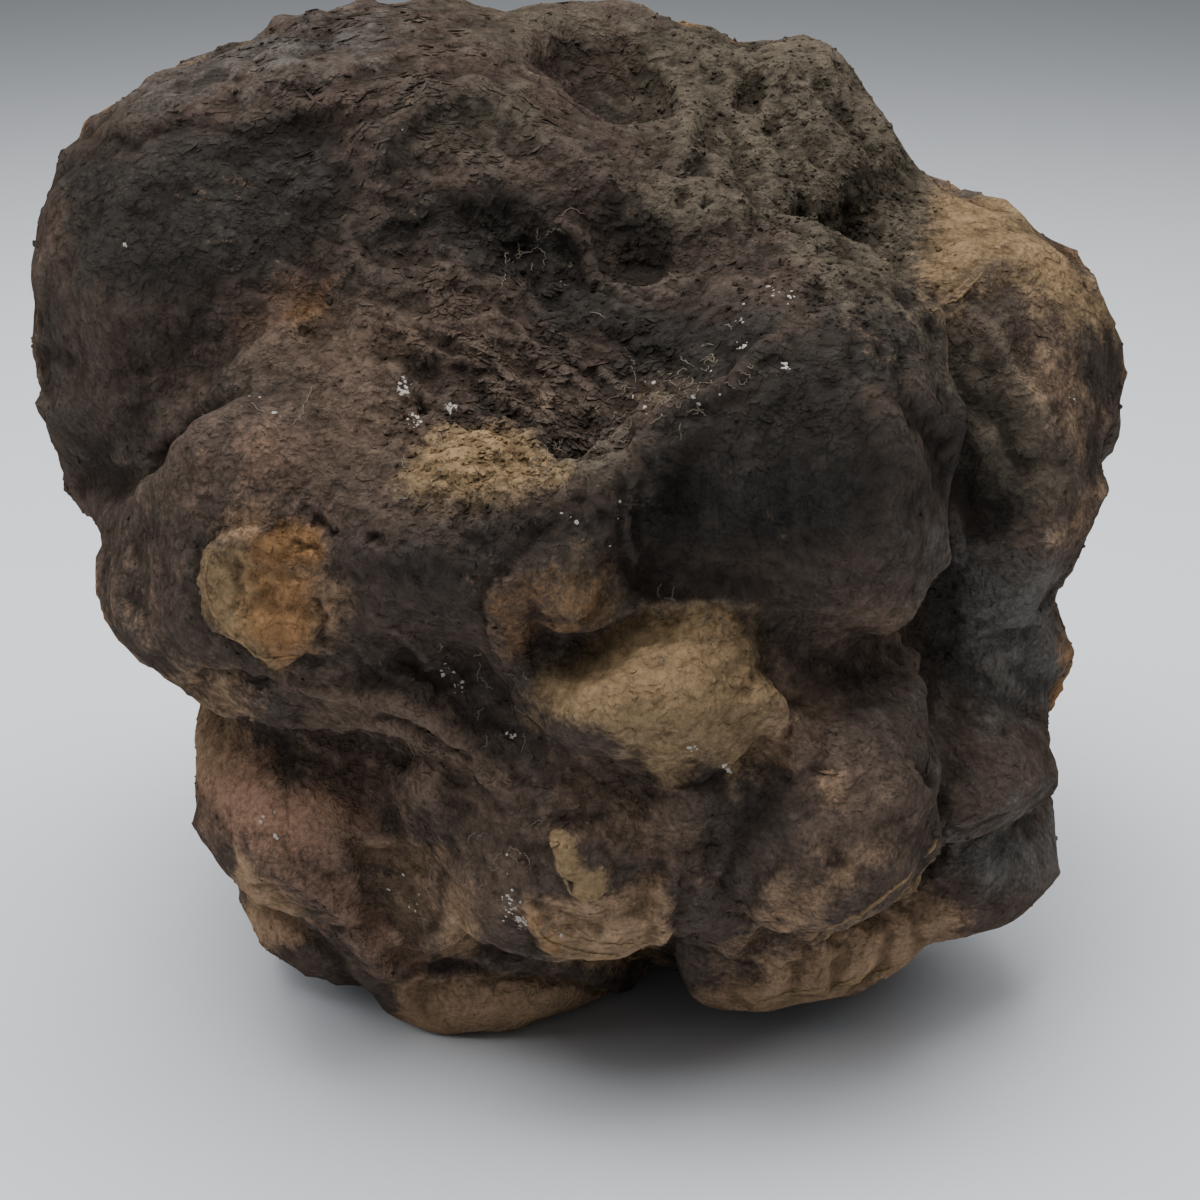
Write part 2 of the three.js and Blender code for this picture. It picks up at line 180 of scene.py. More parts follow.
# Plates stand out within their outline, or lie deeper: name, height, softness and outline in pixels.
PLATES = [
    ("chin knob", 2.6, 6, [(548, 837), (570, 832), (590, 850), (605, 865), (612, 885), (590, 897),
     (575, 895), (562, 875)]),
    ("chin ledge", 1.6, 6, [(525, 905), (545, 915), (600, 925), (640, 915), (655, 880), (664, 900),
     (662, 945), (600, 956), (555, 948), (535, 935)]),
    ("dark face", -2.0, 10, [(350, 850), (420, 845), (445, 880), (440, 935), (400, 950), (370, 915)]),
    ("between chin and egg", 4.0, 40, [(665, 770), (735, 765), (755, 850), (725, 930), (690, 955),
     (672, 890)]),
    ("over the bulge", 3.0, 28, [(565, 600), (620, 585), (700, 590), (740, 605), (700, 625), (600, 640),
     (565, 640)]),
    ("dark hollow", 1.5, 20, [(390, 225), (440, 215), (470, 240), (460, 270), (400, 265)]),
    ("right flank", 4.0, 40, [(950, 540), (1040, 545), (1050, 600), (1040, 650), (970, 640), (950, 590)]),
    ("pitted lump", 1.2, 8, [(630, 185), (700, 180), (745, 200), (745, 230), (690, 245), (650, 220)]),
]

# Pits on the front: depth, radius in pixels, place in pixels.
PITS = [
    (1.8, 6, (318, 518)), (1.6, 6, (327, 526)), (1.2, 5, (309, 508)), (1.4, 5, (368, 530)),
    (1.1, 5, (377, 535)), (3.0, 7, (422, 401)), (1.5, 9, (313, 335)), (4.0, 16, (750, 88)),
    (2.0, 12, (700, 165)), (2.0, 12, (800, 215)), (2.0, 6, (678, 207)), (1.5, 5, (705, 215)),
    (2.5, 8, (776, 118)), (1.5, 8, (850, 210)),
]

# Wrinkles on the front: name, height, reach and spacing in pixels, their slope in degrees, down to the right
# of the picture, and the middle in pixels. How far all are drawn out, their slice of noise and its level.
WRINKLES = [
    ("scoop, left", 1.6, 120, 22, 25, (470, 330)),
    ("scoop, low", 1.9, 90, 20, 33, (570, 400)),
    ("scoop, right", 0.6, 100, 26, -22, (720, 340)),
    ("strata", 1.4, 140, 28, -15, (330, 85)),
    ("spine", 0.9, 90, 26, 28, (490, 140)),
    ("left front", 0.6, 150, 30, 15, (390, 590)),
    ("folds", 1.1, 110, 26, 28, (400, 720)),
    ("low front", 0.7, 110, 28, 55, (480, 830)),
    ("nose", 0.4, 150, 40, 75, (800, 470)),
    ("bulge", 0.5, 90, 26, -30, (660, 680)),
    ("egg", 0.6, 110, 30, 50, (840, 810)),
    ("chin", 0.6, 90, 26, 10, (610, 800)),
    ("right shoulder, low", 0.5, 90, 34, 50, (1000, 420)),
]
WRINKLE_STRETCH = 3
WRINKLE_SLICE = 9.0
WRINKLE_LEVEL = 0.6

# Where the grain is rougher or smoother than elsewhere: name, factor, reach and middle in pixels.
ROUGHNESS = [
    ("top right", 2.2, 150, (780, 130)),
    ("gully", 2.4, 80, (840, 250)),
    ("scoop", 1.6, 170, (520, 350)),
    ("tan band", 2.8, 75, (480, 470)),
    ("scab", 1.7, 60, (270, 590)),
    ("nose", 0.6, 130, (790, 480)),
    ("egg", 0.7, 90, (840, 820)),
    ("foot", 0.5, 90, (520, 1005)),
    ("hanging lobes", 0.5, 100, (830, 965)),
    ("right shoulder", 0.7, 110, (1010, 290)),
]

# Hidden sides: wavelength, mean and swing of the roughness; wavelength and push of what bends the folds;
# wavelength and height of the folds; and pits, where little is seen.
HIDDEN_ROUGHNESS = (55, 1.2, 0.7)
HIDDEN_BEND = (30, 7)
HIDDEN_FOLDS = (26, 2.4)
HIDDEN_PITS = 90
HIDDEN_PIT_RADIUS = (1.5, 4)
HIDDEN_PIT_DEPTH = 0.8
LITTLE_SEEN = 0.05

# Hollows at three scales, which darken the crust as dirt and painted shade: rounds of spreading, and the
# depth that counts in full. Each one's share.
HOLLOW_SCALES = [(2, 0.2), (6, 0.5), (40, 2.0)]
HOLLOW_SHARE = 0.2

# Colours of the crust, as linear reflectance: each kind varies between two.
COLOURS = {
    "plain": ((0.080, 0.058, 0.046), (0.050, 0.041, 0.034)),
    "dark": ((0.037, 0.032, 0.028), (0.026, 0.023, 0.020)),
    "rust": ((0.240, 0.141, 0.092), (0.153, 0.094, 0.068)),
    "brown": ((0.120, 0.083, 0.060), (0.077, 0.056, 0.043)),
    "olive": ((0.099, 0.082, 0.060), (0.056, 0.047, 0.036)),
    "dust": ((0.114, 0.103, 0.092), (0.073, 0.066, 0.060)),
    "buff": ((0.264, 0.173, 0.106), (0.173, 0.114, 0.073)),
    "tan": ((0.234, 0.161, 0.088), (0.152, 0.104, 0.059)),
    "ochre": ((0.244, 0.133, 0.061), (0.158, 0.089, 0.045)),
}

# Patches of each kind on the front: name, cover from 0 to 1, softness and outline in pixels.
PATCHES = {"dark": [
    ("nose", 0.9, 60, [(640, 450), (720, 400), (800, 325), (860, 355), (890, 430), (890, 520), (840, 545),
     (760, 560), (690, 560), (640, 560)]),
    ("nose, right", 0.5, 50, [(870, 380), (940, 400), (950, 540), (900, 570), (860, 500)]),
    # The recess and the hollow patches are painted shade: dark colour where these hollows lie in shadow.
    ("recess", 0.5, 30, [(620, 560), (700, 550), (770, 570), (765, 612), (630, 606)]),
    ("hollow", 0.85, 50, [(370, 245), (430, 185), (520, 190), (570, 230), (640, 300), (660, 350),
     (580, 350), (520, 310), (470, 268)]),
    ("crescent", 0.7, 30, [(590, 195), (640, 200), (690, 250), (660, 270), (610, 250)]),
    ("scoop, right", 0.95, 50, [(560, 300), (700, 300), (790, 310), (760, 370), (650, 385), (600, 350)]),
    ("left front", 0.6, 60, [(330, 540), (480, 500), (620, 490), (610, 560), (480, 570), (460, 620),
     (350, 600)]),
    ("under the fold", 0.2, 50, [(280, 700), (400, 720), (430, 800), (380, 790), (300, 760)]),
    ("left shoulder", 1.0, 50, [(60, 170), (160, 120), (330, 130), (350, 200), (285, 265), (200, 290),
     (80, 280)]),
    ("edge of the nose", 0.9, 40, [(800, 275), (900, 265), (940, 330), (920, 400), (840, 390)]),
    ("under the egg", 0.3, 30, [(700, 830), (770, 840), (760, 900), (710, 940), (680, 945), (672, 890)]),
    ("beside the shoulder", 0.8, 50, [(910, 340), (950, 340), (1000, 430), (1040, 500), (990, 560),
     (940, 500)]),
], "rust": [
    ("left cheek", 0.2, 60, [(110, 470), (200, 430), (260, 440), (240, 520), (200, 560), (190, 650),
     (130, 640), (105, 600)]),
    ("lower left", 1.0, 50, [(180, 740), (240, 730), (290, 790), (370, 800), (385, 850), (320, 870),
     (230, 830), (190, 780)]),
    ("under the left crease", 0.6, 40, [(230, 330), (260, 290), (310, 270), (330, 280), (310, 340),
     (250, 370)]),
    ("left front", 0.5, 60, [(230, 420), (330, 400), (380, 430), (330, 510), (240, 520)]),
    ("lower dark", 0.62, 50, [(300, 710), (400, 750), (430, 820), (370, 820), (300, 770)]),
    ("rib", 0.75, 40, [(250, 850), (350, 870), (440, 950), (430, 985), (380, 970), (310, 900)]),
    ("edge of the nose", 0.2, 40, [(800, 270), (850, 285), (895, 340), (910, 400), (885, 420), (850, 340)]),
    ("end of the hanging lobes", 0.6, 40, [(880, 880), (960, 900), (960, 940), (900, 930)]),
], "brown": [
    ("under the left crease", 0.7, 60, [(200, 350), (270, 300), (400, 290), (450, 340), (400, 400),
     (260, 400)]),
    ("scoop", 0.45, 70, [(350, 290), (440, 270), (520, 310), (560, 380), (570, 430), (520, 440), (430, 390),
     (350, 360)]),
    ("egg", 0.5, 60, [(770, 690), (840, 700), (910, 760), (940, 830), (880, 890), (800, 930), (720, 960),
     (760, 860), (780, 780)]),
    ("under the nose", 0.55, 60, [(740, 610), (860, 570), (930, 590), (900, 680), (800, 690)]),
    ("left front", 0.7, 60, [(290, 370), (400, 380), (410, 460), (380, 510), (290, 500)]),
    ("chin", 1.0, 50, [(560, 760), (680, 760), (700, 860), (640, 870), (570, 830)]),
    ("beside the bulge", 0.85, 40, [(760, 640), (800, 655), (850, 700), (810, 770), (765, 780),
     (765, 700)]),
    ("lower dark", 0.8, 60, [(290, 700), (400, 740), (440, 820), (370, 820), (300, 770)]),
    ("low face", 1.0, 60, [(350, 840), (440, 840), (520, 800), (540, 860), (460, 960), (390, 950)]),
    ("fold", 1.0, 60, [(240, 660), (340, 680), (450, 720), (560, 830), (480, 860), (400, 760)]),
    ("left heel", 0.7, 30, [(240, 850), (290, 900), (330, 950), (270, 935)]),
], "olive": [
    ("top right", 0.95, 70, [(620, 20), (720, 0), (830, 30), (910, 110), (960, 180), (930, 250), (900, 310),
     (830, 290), (780, 230), (700, 180), (630, 120)]),
    ("pitted lump", 0.95, 40, [(630, 185), (700, 175), (755, 200), (750, 235), (690, 250), (645, 225)]),
    ("crescent's rim", 0.4, 30, [(560, 240), (600, 265), (640, 290), (700, 280), (690, 300), (620, 310),
     (570, 280)]),
    ("hollow of the shoulder", 0.8, 60, [(920, 330), (1000, 330), (1070, 440), (1060, 520), (980, 470)]),
    ("over the bulge", 0.7, 40, [(520, 555), (600, 540), (625, 600), (560, 625)]),
    ("top of the egg", 0.2, 50, [(765, 690), (830, 690), (880, 750), (840, 790), (780, 770)]),
    ("slot", 0.6, 40, [(520, 440), (620, 430), (640, 490), (560, 500)]),
    ("over the hollow", 0.7, 50, [(400, 100), (530, 90), (540, 150), (420, 160)]),
    ("top edge", 0.7, 60, [(420, -10), (560, -10), (660, 20), (600, 60), (470, 40)]),
], "dust": [
    ("top left", 0.55, 50, [(110, 110), (150, 75), (230, 45), (290, 25), (350, 10), (420, 20), (420, 50),
     (330, 80), (250, 105), (180, 110)]),
    ("right flank", 0.95, 60, [(930, 540), (1050, 560), (1060, 680), (1000, 720), (940, 680)]),
    ("right heel, rim", 0.6, 30, [(930, 835), (1000, 805), (1050, 775), (1060, 800), (1000, 830)]),
    ("right heel", 0.9, 40, [(950, 850), (1050, 815), (1055, 870), (1000, 910)]),
    ("dark face", 0.7, 40, [(370, 870), (420, 860), (445, 890), (430, 935), (390, 930)]),
], "buff": [
    ("chin", 0.3, 50, [(560, 760), (680, 760), (700, 860), (640, 870), (570, 830)]),
    ("foot", 1.0, 16, [(390, 995), (440, 978), (500, 974), (560, 980), (625, 990), (620, 1010), (560, 1030),
     (460, 1060), (410, 1040)]),
    ("hanging lobes", 1.0, 34, [(690, 1000), (760, 960), (810, 940), (870, 915), (930, 893), (965, 930),
     (930, 985), (880, 1000), (830, 1015), (760, 1040)]),
    ("low face", 0.7, 50, [(350, 840), (440, 840), (450, 930), (390, 940)]),
    ("strip", 0.9, 22, [(442, 890), (470, 890), (480, 950), (440, 960)]),
    ("egg facet", 0.75, 40, [(740, 925), (780, 890), (840, 855), (880, 850), (840, 890), (790, 930),
     (730, 960)]),
    ("egg streak", 0.7, 18, [(815, 770), (840, 765), (845, 800), (825, 800)]),
    ("left cheek", 0.35, 30, [(95, 600), (108, 560), (135, 530), (128, 600), (145, 645)]),
    ("lower left edge", 0.85, 50, [(175, 680), (235, 690), (250, 735), (220, 780), (180, 770)]),
    ("lower left patch", 0.35, 30, [(300, 800), (350, 805), (372, 835), (340, 855), (305, 840)]),
    ("chin ledge", 0.9, 26, [(525, 905), (560, 905), (620, 895), (658, 875), (666, 900), (662, 955),
     (600, 965), (550, 955), (535, 930)]),
    ("right shoulder", 0.28, 70, [(980, 260), (1060, 260), (1120, 340), (1120, 420), (1090, 470),
     (1060, 440), (1010, 370)]),
    ("shoulder's facet", 0.45, 50, [(985, 330), (1060, 300), (1105, 400), (1085, 480), (1040, 430)]),
    ("shoulder's lower edge", 0.7, 30, [(1035, 555), (1065, 525), (1105, 480), (1090, 530)]),
    ("scab, right", 0.7, 36, [(240, 550), (310, 550), (345, 590), (340, 650), (270, 660), (245, 620)]),
    ("over the scab", 0.8, 26, [(220, 540), (230, 505), (262, 500), (275, 520), (245, 540)]),
    ("under the bulge", 0.6, 30, [(740, 690), (790, 710), (800, 760), (750, 770), (720, 760)]),
    ("left heel", 1.0, 18, [(238, 845), (262, 860), (300, 905), (315, 940), (285, 945), (255, 925),
     (240, 890)]),
], "tan": [
    ("bulge", 1.0, 40, [(530, 695), (550, 668), (580, 645), (620, 620), (660, 612), (700, 612), (735, 625),
     (755, 650), (765, 690), (755, 720), (740, 740), (730, 775), (715, 755), (700, 740), (685, 755),
     (665, 780), (652, 765), (640, 745), (600, 732), (560, 720), (540, 710)]),
    ("band", 1.0, 44, [(400, 490), (412, 455), (440, 435), (480, 428), (530, 445), (560, 475), (520, 495),
     (480, 492), (440, 500)]),
    ("right shoulder, high", 0.85, 50, [(925, 215), (950, 180), (990, 185), (1040, 230), (1090, 290),
     (1115, 340), (1060, 320), (1000, 265), (960, 298), (930, 306), (920, 270)]),
    ("scab, left", 0.95, 20, [(203, 580), (212, 550), (235, 545), (262, 560), (262, 620), (275, 655),
     (262, 662), (235, 640), (212, 615)]),
    ("chin ledge", 0.8, 12, [(535, 925), (560, 940), (620, 950), (655, 945), (655, 958), (600, 962),
     (550, 950)]),
    ("egg lip", 0.75, 7, [(812, 932), (860, 912), (905, 880), (932, 846), (937, 852), (908, 888),
     (862, 919), (812, 939)]),
    ("rim", 0.3, 18, [(620, 400), (660, 385), (700, 372), (720, 385), (680, 405), (630, 420)]),
    ("hanging lobes", 0.55, 20, [(720, 1000), (780, 985), (860, 975), (930, 955), (925, 975), (860, 1000),
     (780, 1020)]),
    ("chin knob", 1.0, 14, [(545, 835), (562, 830), (576, 845), (582, 866), (600, 872), (613, 868),
     (610, 885), (594, 897), (574, 893), (562, 876)]),
], "ochre": [
    ("bump", 0.42, 30, [(482, 600), (490, 580), (530, 565), (590, 545), (625, 560), (615, 600), (575, 618),
     (548, 645), (520, 665), (495, 670), (484, 640)]),
    ("scab, top", 1.0, 20, [(250, 530), (280, 518), (312, 528), (320, 565), (270, 572), (245, 552)]),
    ("scab, middle", 0.75, 30, [(240, 560), (310, 570), (325, 620), (310, 655), (260, 655), (240, 610)]),
    ("chin ledge", 0.6, 18, [(530, 905), (560, 925), (560, 950), (536, 935)]),
    ("right flank", 0.65, 22, [(1045, 600), (1062, 625), (1078, 660), (1068, 690), (1050, 650)]),
    ("under the left crease", 0.65, 30, [(285, 325), (305, 295), (328, 280), (330, 310), (300, 335)]),
]}

# Patches on the hidden sides: for each kind, the wavelength of its noise and how much of it there is.
# Their contrast, the level where there is none, and the most cover.
HIDDEN_PATCHES = {"dark": (55, 0.5), "rust": (48, 0.2), "brown": (52, 0.5), "olive": (60, 0.36),
                  "dust": (50, 0.22), "buff": (46, 0.15), "tan": (44, 0.1), "ochre": (40, 0)}
HIDDEN_CONTRAST = 0.9
HIDDEN_LEVEL = 0.75
HIDDEN_MOST = 0.95

# The front's patches are carried on past what the photograph sees, over this many rounds of spreading.
EDGE_ROUNDS = 40
PAST_THE_EDGE = 4

# The crust's clouds of noise: wavelength, detail and roughness. The ridged one has an offset and a gain.
BROAD_CLOUD = (18, 2, 0.6)
MIDDLING_CLOUD = (6, 6, 0.68)
FINE_CLOUD = (0.9, 3, 0.7)
RIDGED_CLOUD = (3.2, 5, 0.62)
RIDGED_OFFSET = 0.9
RIDGED_GAIN = 1.6

# Borders are ragged by shares of the middling and the fine cloud, and a patch goes from none to full cover.
RAGGED_SHARES = (0.75, 0.25)
RAGGED_PUSH = 1.6
BORDER = (0.95, 1.6)

# The two colours of a kind vary with the broad cloud and a share of the middling one.
VARIETY_SHARE = 0.8
VARIETY = (0.6, 1.2)

# Factors of mottling, of dirt and painted shade in hollows, and the crust's roughness, from the low to the
# high end of what drives them.
MOTTLING_ENDS = (0.3, 0.7)
MOTTLING = (0.72, 1.28)
FINE_MOTTLING = (0.88, 1.12)
OTHER_ENDS = (0.2, 0.8)
# Dirt and painted shade: darker in hollows, where shade falls, and lighter on worn crests.
DIRT_AND_PAINTED_SHADE = (1.3, 0.6)
CRUST_ROUGHNESS = (0.8, 0.98)

# Bumps: depth and strength.
RIDGED_BUMP = (0.6, 0.8)
FINE_BUMP = (0.5, 0.7)
CHALK_BUMP = (0.2, 0.5)

# Chalk, threads and the floor: clouds of wavelength and detail, two colours each, and one dull finish.
CHALK_CLOUD = (1.5, 4)
CHALK_GRAIN = (0.5, 3)
CHALK_COLOURS = ((0.58, 0.55, 0.50), (0.26, 0.22, 0.18))
THREAD_CLOUD = (2, 4)
THREAD_COLOURS = ((0.21, 0.17, 0.125), (0.10, 0.08, 0.06))
FLOOR_CLOUD = (60, 3)
FLOOR_COLOURS = ((0.795, 0.838, 0.892), (0.78, 0.815, 0.86))
DULL = 0.9

# Flakes and crumbs keep clear of the base, from none to all between these heights.
CLEAR_OF_BASE = (3, 8)

# Flakes lie along the wrinkles: how many, their length, width and height, how far they turn aside, their
# ragged outline, their lift at the middle and towards one edge, their crown, and the wider foot below.
FLAKES = 3500
FLAKE_SIZES = [(0.5, 1.9), (0.3, 0.8), (0.12, 0.4)]
FLAKE_SKEW = 0.5
FLAKE_CORNERS = 6
FLAKE_RAGGED = (0.45, 1.3)
FLAKE_LIFT = (0.4, 0.5)
FLAKE_CROWN = 0.6
FLAKE_FOOT = 1.1
FLAKE_SUNK = 0.5

# Where flakes lie: the noise behind and that of their patches, as wavelength, start and full; how thick they
# lie behind; their lean where there are no wrinkles; and the wavelength of the swirl they follow behind.
FLAKES_BEHIND = (35, -0.3, 0.6)
FLAKE_PATCHES = (9, -0.2, 0.6)
THICK_BEHIND = 0.5
PLAIN_LEAN = (0.02, 0.01)
SWIRL = 60

# Crumbs lie on the rough places: how many, their sizes, how far small ones outnumber large ones, how flat
# they are, the noise behind, the roughness that they start from, and how few lie elsewhere.
CRUMBS = 8000
CRUMB_SIZE = (0.2, 0.7)
CRUMB_SKEW = 2.5
CRUMB_FLATNESS = 0.8
CRUMBS_BEHIND = (45, 0, 0.7)
CRUMBS_FROM = 0.9
CRUMBS_POWER = 1.5
FEW_CRUMBS = 0.04

# Lumps: how far their corners and their sides vary.
LUMP_CORNERS = (0.65, 1.3)
LUMP_SIDES = (0.7, 1.3)

# Bits of white chalk on the front: how many, how wide they lie and the middle, in pixels.
CHALK = [
    (4, 3, (124, 244)), (30, 9, (405, 389)), (26, 7, (450, 408)), (22, 9, (415, 420)), (9, 8, (445, 670)),
    (9, 7, (460, 686)), (10, 6, (512, 735)), (5, 5, (693, 747)), (7, 7, (727, 766)), (5, 4, (587, 820)),
    (3, 3, (275, 810)), (3, 4, (263, 822)), (2, 3, (276, 836)), (26, 12, (509, 905)), (34, 7, (521, 922)),
    (6, 6, (775, 290)), (6, 6, (792, 298)), (12, 5, (785, 366)), (6, 5, (600, 868)), (6, 4, (563, 933)),
    (6, 8, (740, 345)), (12, 26, (650, 402)), (10, 22, (690, 385)), (4, 10, (1070, 400)),
    (3, 4, (402, 132)), (9, 18, (405, 898)), (5, 50, (290, 410)), (8, 50, (600, 480)), (6, 40, (510, 860)),
    (6, 14, (745, 320)),
]
CHALK_SIZE = (0.1, 0.45)
CHALK_FLATNESS = 0.3

# Pale threads, like dry roots: lines in pixels.
THREADS = [
    [(505, 262), (518, 254), (530, 252), (538, 246)],
    [(538, 246), (546, 254), (543, 270)],
    [(543, 238), (551, 232), (556, 226)],
    [(560, 216), (572, 208), (586, 214)],
    [(590, 312), (600, 315), (607, 319)],
    [(252, 402), (258, 410), (266, 414)],
    [(288, 428), (300, 418), (308, 398), (312, 388)],
    [(630, 398), (645, 402), (655, 396), (668, 400), (682, 392)],
    [(655, 385), (668, 380), (676, 386), (690, 376)],
    [(700, 362), (712, 354), (716, 364)],
]
THREAD_RADIUS = 0.1

# Short shreds curl about among them: how many, how wide they lie and the middle, in pixels.
SHREDS = [
    (26, 36, (665, 398)), (16, 26, (610, 425)), (14, 24, (560, 460)), (10, 30, (720, 365)),
    (10, 60, (520, 250)), (14, 80, (440, 460)), (10, 60, (480, 700)), (10, 60, (500, 860)),
    (8, 50, (690, 620)),
]
SHRED_BENDS = 4
SHRED_CURL = 0.9
SHRED_STEP = (3, 7)

# Worn rims of ledges, pale partly from wear and partly as a painted highlight: radius, and the line in
# pixels. How pale they are, as cover of tan.
RIMS = [
    (0.5, [(937, 838), (930, 850), (905, 881), (862, 912), (830, 928), (806, 936)]),
    (0.5, [(530, 915), (540, 938), (565, 948), (600, 954), (640, 958)]),
    (0.35, [(548, 926), (575, 938), (610, 944), (648, 944)]),
    (0.4, [(553, 845), (560, 870), (572, 892), (590, 898), (608, 890)]),
    (0.45, [(212, 548), (204, 580), (212, 612), (238, 640), (265, 660), (300, 656)]),
    (0.4, [(735, 1005), (752, 1008), (770, 998), (790, 993), (810, 990), (830, 988), (850, 980),
     (900, 965)]),
    (0.35, [(990, 264), (960, 298), (930, 312)]),
]
RIM_HIGHLIGHT_TAN = 0.8

# Threads and rims are tubes: their sides, the longest step along the stone, a line's steps and its shake in
# pixels, how the ends taper, and how deep they are sunk, as a share of the radius.
TUBE_SIDES = 5
LONGEST_STEP = 3
STEPS_PER_CORNER = 5
SHAKE = 0.7
TAPER_END = 0.15
TAPER_POWER = 0.4
THREAD_SUNK = -0.6
RIM_SUNK = 0.2

# The studio, in metres and watts: half the floor, the sky, and lights by name, place, aim, size and power.
FLOOR_HALF = 6
SKY_COLOUR = (0.97, 0.98, 1, 1)
SKY_STRENGTH = 0.105
LIGHTS = [
    ("overhead", (0, 0.1, 1.1), (0, 0, 0.1), 1.1, 11),
    ("front", (-0.3, -0.35, 1.2), (0, 0, 0.07), 0.8, 8.5),
    ("left", (-1.0, -0.12, 0.75), (0, 0, 0.07), 0.9, 4),
    ("right", (0.85, 0, 0.9), (0, 0, 0.07), 0.8, 4),
    ("far floor", (0, 2.2, 2.2), (0, 2.4, 0), 2.5, 8.5),
]

rng = np.random.default_rng(11)


def to_pixels(points):
    """Where the photograph's camera sees each point."""
    away = points - EYE
    scale = FOCAL_PIXELS / (away @ FORWARD)
    middle = FRAME_PIXELS / 2
    return np.stack([middle + (away @ RIGHT) * scale, middle - (away @ UP) * scale], axis=1)


def smooth_step(low, high, value):
    share = np.clip((value - low) / (high - low), 0, 1)
    return share * share * (3 - 2 * share)


def between(ends, share):
    return ends[0] + (ends[1] - ends[0]) * share


def unit(vectors):
    return vectors / np.linalg.norm(vectors, axis=1, keepdims=True)


def linked(name, data):
    """A new object that is in the scene."""
    added = bpy.data.objects.new(name, data)
    bpy.context.scene.collection.objects.link(added)
    return added


def aimed(name, data, place, direction):
    """A new camera or light that looks along a direction."""
    added = linked(name, data)
    added.location = Vector(place)
    added.rotation_mode = "QUATERNION"
    added.rotation_quaternion = Vector(direction).to_track_quat("-Z", "Y")
    return added


def gradient_noise(points, seed):
    """Smooth noise of wavelength 1, from about -1 to 1."""
    draw = np.random.default_rng(seed)
    shuffled = np.tile(draw.permutation(NOISE_CELLS), 2)
    slopes = unit(draw.normal(size=(NOISE_CELLS, 3)))
    cell = np.floor(points).astype(int)
    inside = points - cell
    fade = inside**3 * (inside * (inside * 6 - 15) + 10)
    total = np.zeros(len(points))
    for corner in itertools.product((0, 1), repeat=3):
        x, y, z = ((cell + corner) % NOISE_CELLS).T
        slope = slopes[shuffled[shuffled[shuffled[x] + y] + z]]
        weight = np.prod(np.where(corner, fade, 1 - fade), axis=1)
        total += weight * np.sum(slope * (inside - corner), axis=1)
    return NOISE_GAIN * total


def layered_noise(points, wavelength, seed, layers=3):
    return sum(gradient_noise(points / wavelength * 2**k, seed + k) / 2**k for k in range(layers))


def noise_vectors(points, wavelength, seed):
    return np.stack([gradient_noise(points / wavelength, seed + axis) for axis in range(3)], axis=1)


def patchy_noise(points, wavelength, low, high, seed):
    """Patches of noise, from 0 to 1."""
    return smooth_step(low, high, gradient_noise(points / wavelength, seed))


def nearness(spots, middle, reach):
    """1 at the middle, falling off over the reach."""
    return np.exp(-np.sum((spots - middle) ** 2, axis=1) / reach**2)


def to_line(spots, line):
    """Each spot's distance to a line, the side it is on, and how far along the line it is."""
    ends = np.array(line, dtype=float)
    lengths = np.linalg.norm(np.diff(ends, axis=0), axis=1)
    walked = np.concatenate([[0], np.cumsum(lengths)])
    gap = np.full(len(spots), np.inf)
    side = np.zeros(len(spots))
    share = np.zeros(len(spots))
    for k, length in enumerate(lengths):
        along = ends[k + 1] - ends[k]
        away = spots - ends[k]
        part = np.clip(away @ along / length**2, 0, 1)
        here = np.linalg.norm(away - part[:, None] * along, axis=1)
        closer = here < gap
        gap[closer] = here[closer]
        side[closer] = np.sign(along[0] * away[:, 1] - along[1] * away[:, 0])[closer]
        share[closer] = ((walked[k] + part * length) / walked[-1])[closer]
    return gap, side, share


def depth_inside(spots, outline):
    """How far inside an outline each spot lies, negative outside."""
    closed = outline + outline[:1]
    gap, _, _ = to_line(spots, closed)
    x, y = spots.T
    inside = np.zeros(len(spots), dtype=bool)
    for (ax, ay), (bx, by) in zip(closed, closed[1:]):
        if ay != by:
            crosses = (ay > y) != (by > y)
            inside ^= crosses & (x < ax + (y - ay) * (bx - ax) / (by - ay))
    return np.where(inside, gap, -gap)


def fine_stone():
    """The solid, welded, smoothed and divided: points in millimetres and four-cornered faces."""
    solid = bmesh.new()
    solid.from_mesh(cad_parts["geode"].data)
    bmesh.ops.remove_doubles(solid, verts=solid.verts, dist=WELD)
    coarse = bpy.data.meshes.new("coarse")
    solid.to_mesh(coarse)
    solid.free()
    holder = linked("coarse", coarse)
    divide = holder.modifiers.new("divide", "SUBSURF")
    divide.levels = SUBDIVISIONS
    depsgraph = bpy.context.evaluated_depsgraph_get()
    fine = holder.evaluated_get(depsgraph).to_mesh()
    points = np.empty(len(fine.vertices) * 3)
    fine.vertices.foreach_get("co", points)
    faces = np.empty(len(fine.polygons) * 4, dtype=int)
    fine.polygons.foreach_get("vertices", faces)
    bpy.data.objects.remove(holder)
    return points.reshape(-1, 3) / MM, faces.reshape(-1, 4)


def normals_of(points):
    a, b, c, d = (points[faces[:, k]] for k in range(4))
    across = np.cross(c - a, d - b)
    total = np.zeros_like(points)
    for k, axis in itertools.product(range(4), range(3)):
        total[:, axis] += np.bincount(faces[:, k], across[:, axis], len(points))
    return unit(total)


def spread(values, rounds):
    """Values at the points, evened out with those next to them."""
    start = faces.ravel()
    end = np.roll(faces, -1, axis=1).ravel()
    count = np.bincount(start, minlength=len(values))
    for _ in range(rounds):
        values = (values + np.bincount(start, values[end], len(values)) / count) / 2
    return values


def spread_points(points, rounds):
    return np.stack([spread(points[:, axis], rounds) for axis in range(3)], axis=1)


def sharpened(points):
    """Creases and crests, a little sharper than the smoothed solid has them."""
    normals = normals_of(points)
    proud = np.sum((points - spread_points(points, SHARPEN_ROUNDS)) * normals, axis=1)
    lift = np.clip(SHARPEN_SHARE * proud, -SHARPEN_MOST, SHARPEN_MOST)
    return points + lift[:, None] * normals


